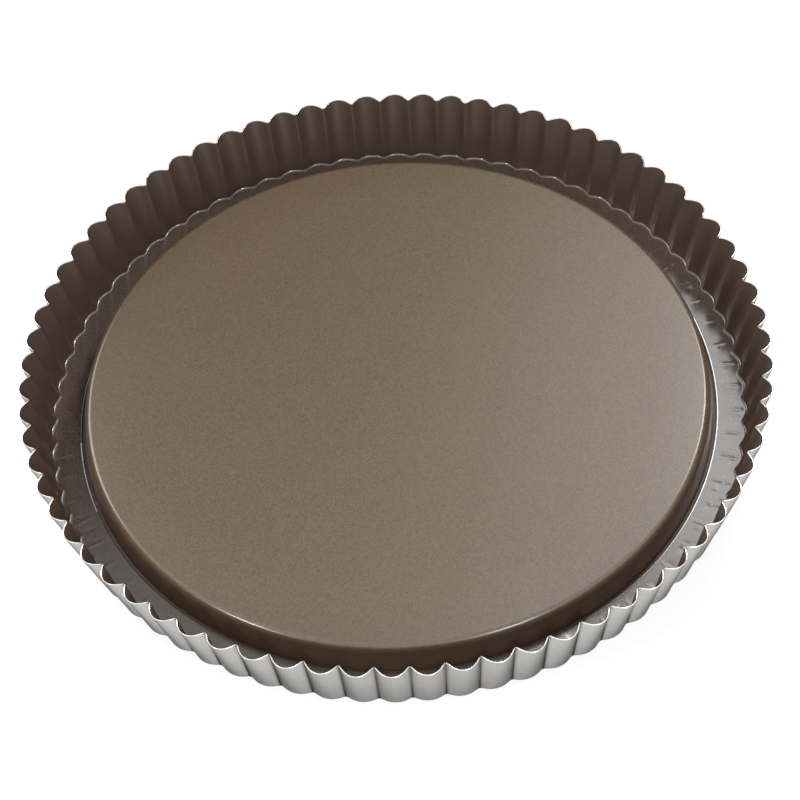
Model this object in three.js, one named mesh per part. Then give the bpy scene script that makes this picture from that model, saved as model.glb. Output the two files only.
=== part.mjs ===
// Fluted tart pan with a loose raised base, standing on a table.
// A fluted ring pressed from coated steel sheet turns in at its foot to a ledge,
// and the ledge drops to a narrow seat that carries the base.
// Millimetres, +Z up, origin at the centre of the pan's underside.
import * as THREE from 'three';

// Fluted ring
const SHEET = 0.5; // steel sheet with its coating, measured straight out from the axis
const RIM_DIAMETER = 280; // across the outside of the flutes at the rim
const PAN_DEPTH = 27.8; // from the top of the ledge up to the rim
const WALL_FLARE = 6.5; // how much further out the wall stands at the rim than at its foot
const FLUTE_COUNT = 72;
const RIM_FLUTE_DEPTH = 3.9; // from the cusp between two flutes out to the flute's round, at the rim
const FOOT_FLUTE_DEPTH = 1.6; // the same at the foot of the wall
const CUSP_SOFTNESS = 0.15; // 0 leaves a knife edge between two flutes
const FLUTE_FULLNESS = 0.3; // how much flatter than a half wave a flute's round is
const BEND_RADIUS = 1; // inside of the bend between wall and ledge
const LEDGE_WIDTH = 9.3; // flat of the ledge, from the bend at a cusp to the step
const SEAT_DROP = 0.9; // step from the ledge down to the seat
const SEAT_WIDTH = 8; // flat that runs in under the base

// Loose base
const BASE_RISE = 10.4; // top of the base above the ledge
const BASE_CORNER_RADIUS = 3.1; // outside of the rounded shoulder
const BASE_WALL_SLANT = 1.6; // how much further out the base stands at its foot than at its shoulder
const BASE_PLAY = 0.9; // between the foot of the base and the step, all round
const REST_GAP = 0.3; // between the foot of the base and the seat

// Fineness of the facets
const POINTS_PER_FLUTE = 6;
const PLAIN_POINTS_PER_FLUTE = 2; // round loops of the ledge and the seat
const BEND_STEPS = 2;
const BASE_SIDES = 96;
const BASE_CORNER_STEPS = 3; // pairs of facets round the shoulder

// Heights, from the table up
const seatTop = SHEET;
const ledgeTop = seatTop + SEAT_DROP;
const rimTop = ledgeTop + PAN_DEPTH;

// Radii of the ring's inside, at the cusps
const rimCusp = RIM_DIAMETER / 2 - SHEET - RIM_FLUTE_DEPTH;
const footCusp = RIM_DIAMETER / 2 - SHEET - WALL_FLARE - FOOT_FLUTE_DEPTH;
const bendCentre = footCusp - BEND_RADIUS;
const stepRadius = bendCentre - LEDGE_WIDTH;
const seatHole = stepRadius - SEAT_WIDTH;

// Share of the flute depth at an angle round the pan: 1 at a flute's round, 0 at a cusp
function fluteWave(angle) {
  const softened = (swing) => Math.hypot(swing, CUSP_SOFTNESS) - CUSP_SOFTNESS;
  const share = softened(Math.cos((FLUTE_COUNT * angle) / 2)) / softened(1);
  return share * (1 + FLUTE_FULLNESS * (1 - share));
}

// One closed loop of points round the ring, at one place of its section
function loopAt({ radius, height, depth = 0, pointsPerFlute = PLAIN_POINTS_PER_FLUTE }) {
  const count = FLUTE_COUNT * pointsPerFlute;
  return Array.from({ length: count }, (_, i) => {
    const angle = (2 * Math.PI * i) / count;
    const reach = radius + depth * fluteWave(angle);
    return new THREE.Vector3(reach * Math.cos(angle), reach * Math.sin(angle), height);
  });
}

// Places on the bend from the ledge (turn 0) to the wall (turn 90 degrees)
function bendStations(radius) {
  return Array.from({ length: BEND_STEPS + 1 }, (_, i) => {
    const turn = ((Math.PI / 2) * i) / BEND_STEPS;
    return {
      radius: bendCentre + radius * Math.sin(turn),
      height: ledgeTop + BEND_RADIUS - radius * Math.cos(turn),
      depth: FOOT_FLUTE_DEPTH,
      pointsPerFlute: POINTS_PER_FLUTE,
    };
  });
}

// The ring's section, down the inside from the rim, under the seat and up the outside
function ringSection() {
  const rim = { height: rimTop, depth: RIM_FLUTE_DEPTH, pointsPerFlute: POINTS_PER_FLUTE };
  return [
    { ...rim, radius: rimCusp },
    ...bendStations(BEND_RADIUS).reverse(),
    { radius: stepRadius, height: ledgeTop },
    { radius: stepRadius, height: seatTop },
    { radius: seatHole, height: seatTop },
    { radius: seatHole, height: 0 },
    { radius: stepRadius + SHEET, height: 0 },
    { radius: stepRadius + SHEET, height: ledgeTop - SHEET },
    ...bendStations(BEND_RADIUS + SHEET),
    { ...rim, radius: rimCusp + SHEET },
  ];
}

// Triangles between two neighbouring loops; one may have a whole number of times as many points
function bandTriangles(upper, lower) {
  const coarse = Math.min(upper.count, lower.count);
  const triangles = [];
  for (let i = 0; i < coarse; i += 1) {
    const upperStep = upper.count / coarse;
    const lowerStep = lower.count / coarse;
    const upperAt = (k) => upper.start + ((i * upperStep + k) % upper.count);
    const lowerAt = (k) => lower.start + ((i * lowerStep + k) % lower.count);
    for (let k = 0; k < upperStep; k += 1) {
      triangles.push(upperAt(k), upperAt(k + 1), lowerAt(0));
    }
    for (let k = 0; k < lowerStep; k += 1) {
      triangles.push(upperAt(upperStep), lowerAt(k + 1), lowerAt(k));
    }
  }
  return triangles;
}

function flutedRingGeometry() {
  const points = [];
  const loops = ringSection().map((station) => {
    const loop = loopAt(station);
    const start = points.length;
    points.push(...loop);
    return { start, count: loop.length };
  });
  const triangles = loops.flatMap((loop, i) => bandTriangles(loop, loops[(i + 1) % loops.length]));
  const geometry = new THREE.BufferGeometry().setFromPoints(points);
  geometry.setIndex(triangles);
  geometry.computeVertexNormals();
  return geometry;
}

// The base: a shallow tray turned upside down, with a rounded shoulder all round
function looseBaseGeometry() {
  const top = ledgeTop + BASE_RISE;
  const foot = seatTop + REST_GAP;
  const footRadius = stepRadius - BASE_PLAY;
  const shoulderRadius = footRadius - BASE_WALL_SLANT;
  const cornerRadius = shoulderRadius - BASE_CORNER_RADIUS;
  const cornerHeight = top - BASE_CORNER_RADIUS;
  const section = new THREE.Path();
  section.moveTo(0, top - SHEET);
  section.lineTo(cornerRadius, top - SHEET);
  section.absarc(cornerRadius, cornerHeight, BASE_CORNER_RADIUS - SHEET, Math.PI / 2, 0, true);
  section.lineTo(footRadius - SHEET, foot);
  section.lineTo(footRadius, foot);
  section.lineTo(shoulderRadius, cornerHeight);
  section.absarc(cornerRadius, cornerHeight, BASE_CORNER_RADIUS, 0, Math.PI / 2);
  section.lineTo(0, top);
  const geometry = new THREE.LatheGeometry(section.getPoints(BASE_CORNER_STEPS), BASE_SIDES);
  return geometry.rotateX(Math.PI / 2);
}

const brownNonStick = { roughness: 0.42, metalness: 0.3 };

const ring = new THREE.Mesh(
  flutedRingGeometry(),
  new THREE.MeshStandardMaterial({ color: '#4b3f35', ...brownNonStick }),
);
ring.name = 'fluted_ring';

const base = new THREE.Mesh(
  looseBaseGeometry(),
  new THREE.MeshStandardMaterial({ color: '#7a6e61', ...brownNonStick }),
);
base.name = 'loose_base';

const pan = new THREE.Group();
pan.add(ring, base);

export default pan;
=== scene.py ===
import math
import random

import bmesh
import bpy
from mathutils import Matrix, Quaternion, Vector


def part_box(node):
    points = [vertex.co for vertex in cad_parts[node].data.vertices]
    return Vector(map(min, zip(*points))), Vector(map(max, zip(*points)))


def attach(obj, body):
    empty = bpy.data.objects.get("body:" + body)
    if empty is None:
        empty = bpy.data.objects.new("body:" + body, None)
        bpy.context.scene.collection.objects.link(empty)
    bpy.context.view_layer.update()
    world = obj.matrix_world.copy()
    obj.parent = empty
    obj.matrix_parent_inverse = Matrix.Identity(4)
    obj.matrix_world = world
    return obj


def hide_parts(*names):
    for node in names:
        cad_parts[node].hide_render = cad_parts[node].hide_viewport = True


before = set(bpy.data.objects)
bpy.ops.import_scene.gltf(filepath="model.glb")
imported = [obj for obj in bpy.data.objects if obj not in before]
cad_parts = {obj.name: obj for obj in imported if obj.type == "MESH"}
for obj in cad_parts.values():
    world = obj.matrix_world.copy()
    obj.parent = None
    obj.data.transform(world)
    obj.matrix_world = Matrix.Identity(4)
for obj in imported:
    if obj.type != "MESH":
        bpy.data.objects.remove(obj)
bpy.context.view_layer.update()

# The fluted ring: one pressing of non-stick coated steel sheet, drawn between fluted dies and trimmed
# at the rim, where the raw cut edge is left bare. Its foot turns in to a flat ledge, crinkled at every
# flute where the sheet was gathered, and steps down to the narrow seat that carries the base.
MM = 0.001
ring_low, ring_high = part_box("fluted_ring")
sheet = 0.5 * MM
wall_flare = 6.5 * MM
flute_count = 72
rim_flute_depth = 3.9 * MM
foot_flute_depth = 1.6 * MM
cusp_softness = 0.15
foot_softness = 0.4
flute_fullness = 0.3
bend_radius = 1 * MM
ledge_width = 9.3 * MM
seat_drop = 0.9 * MM
seat_width = 8 * MM
lip_radius = 0.3 * MM
lip_width = 0.6 * MM
burr = 0.18 * MM
steps_per_flute = 26
bend_steps = 3
ledge_steps = 14
lip_steps = 2
hair = 0.001 * MM  # places closer than this count as one

rim_lobe = ring_high.x - sheet
rim_cusp = rim_lobe - rim_flute_depth
foot_cusp = rim_lobe - wall_flare - foot_flute_depth
seat_top = ring_low.z + sheet
ledge_top = seat_top + seat_drop
bend_centre = foot_cusp - bend_radius
bend_top = ledge_top + bend_radius
step_radius = bend_centre - ledge_width
lip_start = step_radius + lip_radius
seat_hole = step_radius - seat_width


def between(start, end, steps):
    """Points from start to end in a section, without the last one."""
    return [Vector(start).lerp(Vector(end), i / steps) for i in range(steps)]


def arc(centre, radius, start, end, steps):
    """Points on an arc in a section, from one angle to another in degrees, without the last one."""
    turns = [math.radians(start + (end - start) * i / steps) for i in range(steps)]
    return [Vector(centre) + radius * Vector((math.cos(t), math.sin(t))) for t in turns]


def spin_section(bm, points, steps):
    """Turns a line of (radius, height) points once round the pan's axis."""
    verts = [bm.verts.new((radius, 0, height)) for radius, height in points]
    edges = [bm.edges.new(pair) for pair in zip(verts, verts[1:])]
    bmesh.ops.spin(
        bm,
        geom=verts + edges,
        axis=(0, 0, 1),
        cent=(0, 0, 0),
        angle=2 * math.pi,
        steps=steps,
        use_merge=True,
    )
    bmesh.ops.remove_doubles(bm, verts=bm.verts, dist=hair)


ring_section = (
    between((rim_cusp, ring_high.z), (foot_cusp, bend_top), 1)
    + arc((bend_centre, bend_top), bend_radius, 0, -90, bend_steps)
    + between((bend_centre, ledge_top), (step_radius + lip_width, ledge_top), ledge_steps)
    + between((step_radius + lip_width, ledge_top), (lip_start, ledge_top), 1)
    + arc((lip_start, ledge_top - lip_radius), lip_radius, 90, 180, lip_steps)
    + between((step_radius, ledge_top - lip_radius), (step_radius, seat_top), 1)
    + [Vector((step_radius, seat_top)), Vector((seat_hole, seat_top))]
)
ring_mesh = bmesh.new()
spin_section(ring_mesh, ring_section, flute_count * steps_per_flute)

# Crinkles of the ledge, at each flute: a pleat that runs in from the wall, two shorter creases beside
# it and some shallow dents. The sheet was gathered unevenly, more on the right than on the left.
pleat_slope = 0.12
pleat_scatter = 0.5 * MM
crease_scatter = 2 * MM
lean_limit = 0.1
dents_per_flute = 4
dent_scatter = 2.5 * MM
dent_size = 1.2 * MM
dent_height = 0.104 * MM
fade_at_wall = 1 / 4  # share of the ledge over which the crinkles die away
fade_at_lip = 1 / 7
groove_sharpness = 10
groove_foot = -0.03  # how far below the wall the painted shade of the grooves runs, as a share of its height
flute_pitch = 2 * math.pi / flute_count
pick = random.Random(72)


def fold(spread, half_width, reach, slope):
    """One fold of the ledge: its place across the flute, lean, half width, reach inward and height."""
    offset = pick.gauss(0, spread)
    lean = pick.uniform(-lean_limit, lean_limit)
    return offset, lean, half_width, reach, slope * half_width


folds = [
    [fold(pleat_scatter, pick.uniform(0.8, 1.1) * MM, pick.uniform(7, 10) * MM, pleat_slope)]
    + [
        fold(
            crease_scatter,
            pick.uniform(0.5, 0.8) * MM,
            pick.uniform(2.5, 6) * MM,
            side * pleat_slope,
        )
        for side in (1, -1)
    ]
    for _ in range(flute_count)
]
gather = [
    pick.uniform(0.8, 1.2) * (0.6 + 0.4 * math.cos(flute * flute_pitch))
    for flute in range(flute_count)
]
bend_shine = [pick.uniform(0.4, 1) for _ in range(flute_count)]
dents = [
    [
        (
            pick.gauss(0, dent_scatter),
            pick.uniform(1.5 * MM, 7 * MM),
            dent_size * pick.uniform(0.7, 1.2),
            dent_height * pick.uniform(-1, 1),
        )
        for _ in range(dents_per_flute)
    ]
    for _ in range(flute_count)
]


def flute_wave(angle, softness):
    """Share of the flute depth at an angle round the pan: 1 at a flute's round, 0 at a cusp."""
    swing = math.hypot(math.cos(flute_count * angle / 2), softness) - softness
    share = swing / (math.hypot(1, softness) - softness)
    return share * (1 + flute_fullness * (1 - share))


def clamp(value):
    """The value, held between 0 and 1."""
    return min(max(value, 0), 1)


def crinkle(radius, angle):
    """Height of the folds and dents at a place on the ledge."""
    nearest = round(angle / flute_pitch)
    flute = nearest % flute_count
    across = (angle - nearest * flute_pitch) * radius
    inward = bend_centre + foot_flute_depth - radius
    height = 0
    for offset, lean, half_width, reach, rise in folds[flute]:
        fade = max(0, 1 - (inward / reach) ** 4)
        side = abs(across - offset - lean * inward) / half_width
        height += gather[flute] * rise * fade * max(0, 1 - side)
    for offset, depth_in, size, rise in dents[flute]:
        away = math.hypot(across - offset, inward - depth_in) / size
        height += gather[flute] * rise * math.exp(-(away**2))
    return height


drawn = ring_mesh.verts.layers.float.new("drawn")
groove = ring_mesh.verts.layers.float.new("groove")
for vert in ring_mesh.verts:
    radius = math.hypot(vert.co.x, vert.co.y)
    angle = math.atan2(vert.co.y, vert.co.x)
    up_wall = (vert.co.z - bend_top) / (ring_high.z - bend_top)
    out_ledge = (radius - lip_start) / (bend_centre - lip_start)
    spread = clamp(out_ledge) ** 2
    depth = foot_flute_depth * spread + (rim_flute_depth - foot_flute_depth) * max(up_wall, 0)
    softness = foot_softness + (cusp_softness - foot_softness) * clamp(up_wall)
    wave = flute_wave(angle, softness)
    reach = radius + depth * wave
    on_ledge = radius > step_radius + lip_radius / 2 and vert.co.z < ledge_top + hair
    on_bend = not on_ledge and 0 < out_ledge and vert.co.z < bend_top - hair
    shine = bend_shine[round(angle / flute_pitch) % flute_count] * wave
    vert[drawn] = 0 if on_ledge else 1 - shine if on_bend else 1
    # painted shade: the metal is darkened towards each cusp, in the grooves between the flutes
    vert[groove] = (1 - wave) ** groove_sharpness if up_wall > groove_foot else 0
    vert.co.x = reach * math.cos(angle)
    vert.co.y = reach * math.sin(angle)
    if 0 < out_ledge < 1:
        vert.co.z += crinkle(reach, angle) * min(
            1, (1 - out_ledge) / fade_at_wall, out_ledge / fade_at_lip
        )


sharp_angle = math.radians(60)


def give_thickness(bm):
    """Makes the sheet a shell and sorts its faces: 0 the upper side, 1 the back, 2 the cut edges."""
    bmesh.ops.recalc_face_normals(bm, faces=bm.faces)
    upper = set(bm.faces)
    flattest = max(upper, key=lambda face: abs(face.normal.z))
    if flattest.normal.z < 0:
        bmesh.ops.reverse_faces(bm, faces=bm.faces)
    made = bmesh.ops.solidify(bm, geom=bm.faces[:], thickness=sheet)
    back = set(made["geom"])
    for face in bm.faces:
        face.smooth = True
        face.material_index = 0 if face in upper else 1 if face in back else 2


def finish_piece(bm, name, materials):
    """Makes the mesh an object at the origin, with its materials and its sharp edges."""
    mesh = bpy.data.meshes.new(name)
    bm.to_mesh(mesh)
    bm.free()
    mesh.set_sharp_from_angle(angle=sharp_angle)
    for material in materials:
        mesh.materials.append(material)
    piece = bpy.data.objects.new(name, mesh)
    bpy.context.scene.collection.objects.link(piece)
    return piece


give_thickness(ring_mesh)

# The raw edge of the rim has lost its corners, so only the middle of the cut shows bare. On two arcs
# the lip of the step is made bright bare steel: a painted highlight, where lamps glint on its edge.
lip_highlight_arcs = [(-62, 12), (183, 199)]
nearly_level = 0.9
rim_corners = [
    edge
    for edge in ring_mesh.edges
    if all(vert.co.z > ring_high.z - burr for vert in edge.verts)
    and {face.material_index for face in edge.link_faces} in ({0, 2}, {1, 2})
]
bmesh.ops.bevel(
    ring_mesh,
    geom=rim_corners,
    offset=burr,
    offset_type="OFFSET",
    affect="EDGES",
    segments=2,
    profile=0.5,
    material=-1,
)
for face in ring_mesh.faces:
    middle = face.calc_center_median()
    outward = middle.x * face.normal.x + middle.y * face.normal.y
    if middle.z > ring_high.z - burr and face.normal.z < nearly_level:
        face.material_index = 1 if outward > 0 else 0
    on_lip = step_radius < math.hypot(middle.x, middle.y) < step_radius + lip_width
    if on_lip and face.material_index == 0 and middle.z > ledge_top - lip_radius:
        # painted highlight: the lip's faces on these arcs get bright bare steel
        bearing = math.degrees(math.atan2(middle.y, middle.x))
        painted_lip_highlight = any(start < bearing + turn < end for start, end in lip_highlight_arcs for turn in (0, 360))
        face.material_index = 2 if painted_lip_highlight else 0
    face.smooth = True


def linear(code):
    """An sRGB hex colour as linear red, green, blue and alpha."""
    shares = [int(code[i : i + 2], 16) / 255 for i in (1, 3, 5)]
    return [s / 12.92 if s <= 0.04045 else ((s + 0.055) / 1.055) ** 2.4 for s in shares] + [1]


def add_node(tree, kind, sockets, **settings):
    """Adds a node with its settings; each of its sockets takes a value or a link from another node."""
    node = tree.nodes.new(kind)
    for name, value in settings.items():
        setattr(node, name, value)
    for name, value in sockets.items():
        if isinstance(value, bpy.types.NodeSocket):
            tree.links.new(value, node.inputs[name])
        else:
            node.inputs[name].default_value = value
    return node


def new_tree(name):
    """A new material and its empty node tree."""
    material = bpy.data.materials.new(name)
    material.use_nodes = True
    material.node_tree.nodes.clear()
    return material, material.node_tree


flake_size = 0.6 * MM
peel_height = 0.02 * MM
wall_shade_share = 0.8
wall_roughness = 0.4
wall_gloss = 0.3


def non_stick(name, dark, light, wall_shade_colour, roughness, gloss):
    """Fluoropolymer non-stick coating with mica in it, sprayed on and baked: a warm brown satin with
    a grain of flakes, drawn coarser than the real ones so that it shows, and a faint orange peel.
    Where the sheet was drawn to a wall it is duller, and its colour is moved to another tint, painted
    shade for the walls. Below 0 the attribute drawn stands for a place that the die has burnished."""
    material, tree = new_tree(name)
    place = add_node(tree, "ShaderNodeTexCoord", {}).outputs["Object"]
    grain = add_node(
        tree, "ShaderNodeTexNoise", {"Vector": place, "Scale": 1 / flake_size, "Detail": 2}
    )
    tone = add_node(
        tree,
        "ShaderNodeMapRange",
        {"Value": grain.outputs["Fac"], "From Min": 0.3, "From Max": 0.7},
    )
    colour = add_node(
        tree,
        "ShaderNodeMix",
        {6: linear(dark), 7: linear(light), 0: tone.outputs["Result"]},
        data_type="RGBA",
    )
    peel = add_node(
        tree,
        "ShaderNodeBump",
        {"Height": grain.outputs["Fac"], "Strength": 0.04, "Distance": peel_height},
    )
    stretch = add_node(tree, "ShaderNodeAttribute", {}, attribute_name="drawn")
    # painted shade: where drawn, the colour moves towards the wall colour
    tint = add_node(
        tree,
        "ShaderNodeMapRange",
        {"Value": stretch.outputs["Fac"], "To Min": 0.0, "To Max": wall_shade_share},
    )
    coat = add_node(
        tree,
        "ShaderNodeMix",
        {6: colour.outputs[2], 7: linear(wall_shade_colour), 0: tint.outputs["Result"]},
        data_type="RGBA",
    )
    dullness = add_node(
        tree,
        "ShaderNodeMapRange",
        {"Value": stretch.outputs["Fac"], "To Min": roughness, "To Max": wall_roughness},
        clamp=False,
    )
    shine = add_node(
        tree,
        "ShaderNodeMapRange",
        {"Value": stretch.outputs["Fac"], "To Min": gloss, "To Max": wall_gloss},
    )
    surface = add_node(
        tree,
        "ShaderNodeBsdfPrincipled",
        {
            "Base Color": coat.outputs[2],
            "Roughness": dullness.outputs["Result"],
            "IOR": 1.62,
            "Specular IOR Level": shine.outputs["Result"],
            "Normal": peel.outputs["Normal"],
        },
    )
    add_node(tree, "ShaderNodeOutputMaterial", {"Surface": surface.outputs["BSDF"]})
    return material


streak_squeeze = 0.08
painted_groove_shade = "#5a5855"


def bare_metal(name, dark, light, roughness, grain, edge):
    """Steel without the brown coating. It has streaks up the wall, the way it was drawn, coarser than
    the real ones so that they show, and shade painted dark into the grooves between the flutes. The
    edge colour is its glancing sheen."""
    material, tree = new_tree(name)
    place = add_node(tree, "ShaderNodeTexCoord", {}).outputs["Object"]
    drawn_out = add_node(tree, "ShaderNodeMapping", {"Vector": place, "Scale": (1, 1, streak_squeeze)})
    streaks = add_node(
        tree,
        "ShaderNodeTexNoise",
        {"Vector": drawn_out.outputs["Vector"], "Scale": 1 / grain, "Detail": 3},
    )
    tone = add_node(
        tree,
        "ShaderNodeMix",
        {6: linear(dark), 7: linear(light), 0: streaks.outputs["Fac"]},
        data_type="RGBA",
    )
    # painted shade in the grooves between the flutes, from the mesh's groove attribute
    depth = add_node(tree, "ShaderNodeAttribute", {}, attribute_name="groove")
    colour = add_node(
        tree,
        "ShaderNodeMix",
        {6: tone.outputs[2], 7: linear(painted_groove_shade), 0: depth.outputs["Fac"]},
        data_type="RGBA",
    )
    surface = add_node(
        tree,
        "ShaderNodeBsdfPrincipled",
        {
            "Base Color": colour.outputs[2],
            "Metallic": 1.0,
            "Roughness": roughness,
            "Specular Tint": linear(edge),
        },
    )
    add_node(tree, "ShaderNodeOutputMaterial", {"Surface": surface.outputs["BSDF"]})
    return material


# The ring has the same coating as the base, set darker here: painted shade for its walls and ledge.
ring_coating = non_stick(
    "ring_non_stick_coating", "#43342a", "#4f4034", wall_shade_colour="#47382e", roughness=0.16, gloss=1.0
)
back_lacquer = bare_metal(
    "grey_lacquered_steel", "#bfbebc", "#d0cfcd", roughness=0.3, grain=0.6 * MM, edge="#666666"
)
cut_steel = bare_metal(
    "bare_cut_steel", "#d8d4d0", "#eae7e4", roughness=0.2, grain=0.5 * MM, edge="#ffffff"
)
ring = finish_piece(ring_mesh, "ring_shell", [ring_coating, back_lacquer, cut_steel])
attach(ring, "ring")
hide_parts("fluted_ring")

# The loose base: a round of the same coated sheet, pressed to a shallow tray that lies upside down in
# the ring with its rounded shoulder up. It rests on the seat by its own weight, with a little play.
base_low, base_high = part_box("loose_base")
base_foot = base_high.x
base_slant = 1.6 * MM
base_corner = 2.8 * MM
base_steps = 480
top_steps = 6
corner_steps = 12
wall_steps = 3
drawn_from = 0.88  # height on the round, as a share of its radius, below which the coating dulls and takes the painted wall shade
drawn_over = 0.45  # share of the radius over which it does so
burnish_middle = 0.4  # how far out on the round the die has rubbed most, as a share of its radius

shoulder = base_foot - base_slant
corner_centre = (shoulder - base_corner, base_high.z - base_corner)
base_section = (
    between((0, base_high.z), (corner_centre[0], base_high.z), top_steps)
    + arc(corner_centre, base_corner, 90, 0, corner_steps)
    + between((shoulder, corner_centre[1]), (base_foot, base_low.z), wall_steps)
    + [Vector((base_foot, base_low.z))]
)
base_mesh = bmesh.new()
spin_section(base_mesh, base_section, base_steps)
drawn = base_mesh.verts.layers.float.new("drawn")
for vert in base_mesh.verts:
    up_corner = (vert.co.z - corner_centre[1]) / base_corner
    out_corner = (math.hypot(vert.co.x, vert.co.y) - corner_centre[0]) / base_corner
    burnish = max(0, 1 - abs(out_corner - burnish_middle) / burnish_middle)
    vert[drawn] = clamp((drawn_from - up_corner) / drawn_over) - burnish
give_thickness(base_mesh)
# the wall colour is painted shade for the base's shoulder and wall
base_coating = non_stick(
    "base_non_stick_coating", "#4f402e", "#6a5a44", wall_shade_colour="#624c3e", roughness=0.3, gloss=0.56
)
base = finish_piece(base_mesh, "base_shell", [base_coating, back_lacquer, cut_steel])
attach(base, "base")
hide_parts("loose_base")

# The white floor that the pan stands on. To the camera and in reflections most of its white is its
# own, so that it reads as white paper and still keeps a soft shadow of the pan.
floor_half = 4.0
paper_glow = 0.8


def seen_directly(tree):
    """1 for rays from the camera, a mirror or glass, and 0 for rays that carry light."""
    path = add_node(tree, "ShaderNodeLightPath", {}).outputs
    mirror = add_node(
        tree,
        "ShaderNodeMath",
        {0: path["Is Glossy Ray"], 1: path["Is Transmission Ray"]},
        operation="MAXIMUM",
    )
    return add_node(
        tree,
        "ShaderNodeMath",
        {0: path["Is Camera Ray"], 1: mirror.outputs["Value"]},
        operation="MAXIMUM",
    ).outputs["Value"]


floor_mesh = bmesh.new()
bmesh.ops.create_grid(floor_mesh, x_segments=1, y_segments=1, size=floor_half)
paper, paper_tree = new_tree("white_paper")
glow = add_node(
    paper_tree, "ShaderNodeMath", {0: seen_directly(paper_tree), 1: paper_glow}, operation="MULTIPLY"
)
sheet_of_paper = add_node(
    paper_tree,
    "ShaderNodeBsdfPrincipled",
    {
        "Base Color": linear("#7c7c7c"),
        "Roughness": 0.9,
        "Emission Color": linear("#ffffff"),
        "Emission Strength": glow.outputs["Value"],
    },
)
add_node(paper_tree, "ShaderNodeOutputMaterial", {"Surface": sheet_of_paper.outputs["BSDF"]})
floor = finish_piece(floor_mesh, "floor", [paper])

# Studio light: a large softbox overhead, a window behind on the right with a brighter core, a large
# lamp behind on the left, one in front, and small ones that give the base's shoulder its highlights,
# in a dim room. The camera, mirrors and glass see the room as plain white.
room_light = 0.03
room_seen = 1.0
room = bpy.data.worlds.new("white_room")
room.use_nodes = True
room.node_tree.nodes.clear()
level = add_node(
    room.node_tree,
    "ShaderNodeMapRange",
    {"Value": seen_directly(room.node_tree), "To Min": room_light, "To Max": room_seen},
)
sky = add_node(
    room.node_tree,
    "ShaderNodeBackground",
    {"Color": linear("#ffffff"), "Strength": level.outputs["Result"]},
)
add_node(room.node_tree, "ShaderNodeOutputWorld", {"Surface": sky.outputs["Background"]})
bpy.context.scene.world = room


def soft_light(name, place, size, power, spin=0):
    """A square lamp that faces the pan, spun about its own axis by an angle in degrees."""
    lamp = bpy.data.lights.new(name, "AREA")
    lamp.shape = "SQUARE"
    lamp.size = size
    lamp.energy = power
    holder = bpy.data.objects.new(name, lamp)
    holder.location = place
    facing = (-Vector(place)).to_track_quat("-Z", "Y")
    holder.rotation_euler = (facing @ Quaternion((0, 0, 1), math.radians(spin))).to_euler()
    bpy.context.scene.collection.objects.link(holder)


soft_light("ceiling_softbox", (0.0, 0.0, 1.2), size=1.72, power=6.2, spin=35)
soft_light("window_right", (0.446, 0.914, 1.13), size=0.55, power=2.2)
soft_light("window_core", (0.684, 0.76, 1.097), size=0.25, power=5)
soft_light("lamp_left", (-0.81, 0.73, 0.7), size=0.7, power=9.2)
soft_light("lamp_front_left", (-0.86, -0.54, 0.96), size=0.14, power=4.5)
soft_light("lamp_front_right", (0.47, -0.79, 1.06), size=0.14, power=4)
soft_light("ceiling_lamp", (0.167, 0.545, 1.279), size=0.1, power=0.4)
soft_light("lamp_front", (0.6, -2.0, 1.1), size=0.6, power=18)

# A curtain of black velvet, hung upright across the back of the set where the camera doesn't see it.
# It keeps the room's white out of the reflections in the coating.
curtain_middle = (0, 2.0, 2.3)
curtain_half_width = 4
curtain_half_height = 2.25
curtain_mesh = bmesh.new()
bmesh.ops.create_grid(
    curtain_mesh,
    x_segments=1,
    y_segments=1,
    size=1,
    matrix=Matrix.Translation(curtain_middle)
    @ Matrix.Rotation(math.pi / 2, 4, "X")
    @ Matrix.Diagonal((curtain_half_width, curtain_half_height, 1, 1)),
)
cloth, cloth_tree = new_tree("black_velvet")
velvet = add_node(
    cloth_tree, "ShaderNodeBsdfPrincipled", {"Base Color": linear("#272727"), "Roughness": 1.0}
)
add_node(cloth_tree, "ShaderNodeOutputMaterial", {"Surface": velvet.outputs["BSDF"]})
curtain = finish_piece(curtain_mesh, "curtain", [cloth])
curtain.visible_camera = False
curtain.visible_diffuse = False

# The camera: found from the places of the rim's cusps in the photograph, as a lens of 88 mm on a
# 36 mm sensor, looking down on the pan from the front and tilted a little to one side.
look_down = math.radians(51.229)
tilt = math.radians(4.831)
turn_to_flutes = math.radians(-1.194)
aim_across = -1.06 * MM
aim_up = 18.42 * MM
distance = 729.6 * MM
focal_pixels = 1960.5
frame_pixels = 800
sensor = 36.0

right = Vector((1, 0, 0))
up = Vector((0, math.sin(look_down), math.cos(look_down)))
forward = Vector((0, math.cos(look_down), -math.sin(look_down)))
place = Vector((0, 0, ring_high.z)) - aim_across * right - aim_up * up - distance * forward
tilted_right = math.cos(tilt) * right - math.sin(tilt) * up
tilted_up = math.sin(tilt) * right + math.cos(tilt) * up
pose = Matrix((tilted_right, tilted_up, -forward)).transposed().to_4x4()
pose.translation = place
camera_data = bpy.data.cameras.new("camera")
camera_data.sensor_width = sensor
camera_data.lens = focal_pixels / frame_pixels * sensor
camera = bpy.data.objects.new("camera", camera_data)
camera.matrix_world = Matrix.Rotation(turn_to_flutes, 4, "Z") @ pose
bpy.context.scene.collection.objects.link(camera)
bpy.context.scene.camera = camera
bpy.context.scene.view_settings.view_transform = "Standard"
